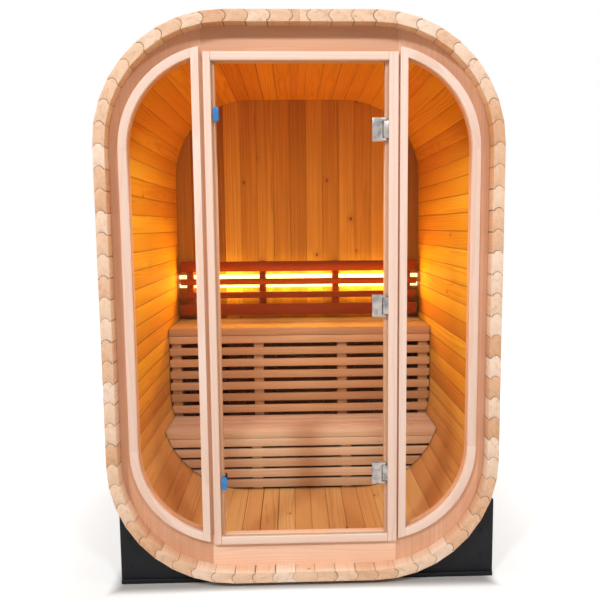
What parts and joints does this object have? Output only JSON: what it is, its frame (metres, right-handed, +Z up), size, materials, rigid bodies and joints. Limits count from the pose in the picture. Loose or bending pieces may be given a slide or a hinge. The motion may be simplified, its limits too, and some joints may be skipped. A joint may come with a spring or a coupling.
{
  "type": "outdoor sauna",
  "caption": "Outdoor sauna with a rounded shell of cove-and-bead staves, a recessed glazed front with a swinging glass door, and a tiered slatted bench with a lit backrest.",
  "frame": {"origin": "on the ground, under the middle of the shell", "axes": "+Z up, the glazed front faces -Y, X to the right seen from the front"},
  "size_m": [1.4892, 1.75, 2.1455],
  "materials": {
    "shell_wood": "planed softwood",
    "front_wood": "planed softwood",
    "trim_wood": "planed softwood",
    "glass": "clear toughened",
    "hinge_metal": "satin",
    "clip_plastic": "matt",
    "back_wood": "planed softwood",
    "bench_wood": "sanded",
    "light": "diffuser",
    "cradle_black": "matt black"
  },
  "bodies": {
    "cabin": {"floor_staves": "shell_wood", "lower_left_corner_staves": "shell_wood", "lower_right_corner_staves": "shell_wood", "left_wall_staves": "shell_wood", "right_wall_staves": "shell_wood", "upper_left_corner_staves": "shell_wood", "upper_right_corner_staves": "shell_wood", "roof_staves": "shell_wood", "header_board": "front_wood", "sill_board": "front_wood", "left_front_panel": "front_wood", "right_front_panel": "front_wood", "door_trim": "trim_wood", "left_window_trim": "trim_wood", "right_window_trim": "trim_wood", "left_window_glass": "glass", "right_window_glass": "glass", "hinge_brackets": "hinge_metal", "back_wall_boards": "back_wood", "upper_bench_seat": "bench_wood", "upper_bench_front": "bench_wood", "upper_bench_frame": "bench_wood", "lower_bench_seat": "bench_wood", "lower_bench_front": "bench_wood", "lower_bench_frame": "bench_wood", "backrest_rails": "bench_wood", "backrest_supports": "bench_wood", "light_strips": "light", "left_saddles": "cradle_black", "right_saddles": "cradle_black", "left_cradle_side": "cradle_black", "right_cradle_side": "cradle_black", "base_rails": "cradle_black"},
    "door": {"door_glass": "glass", "hinge_clamps": "hinge_metal", "door_clips": "clip_plastic"}
  },
  "joints": [
    {"name": "door_hinge", "type": "hinge", "parent": "cabin", "child": "door", "pos_m": [0.3115, -0.821, 1.0843], "axis": [0, 0, 1], "range_deg": [0, 105]}
  ]
}
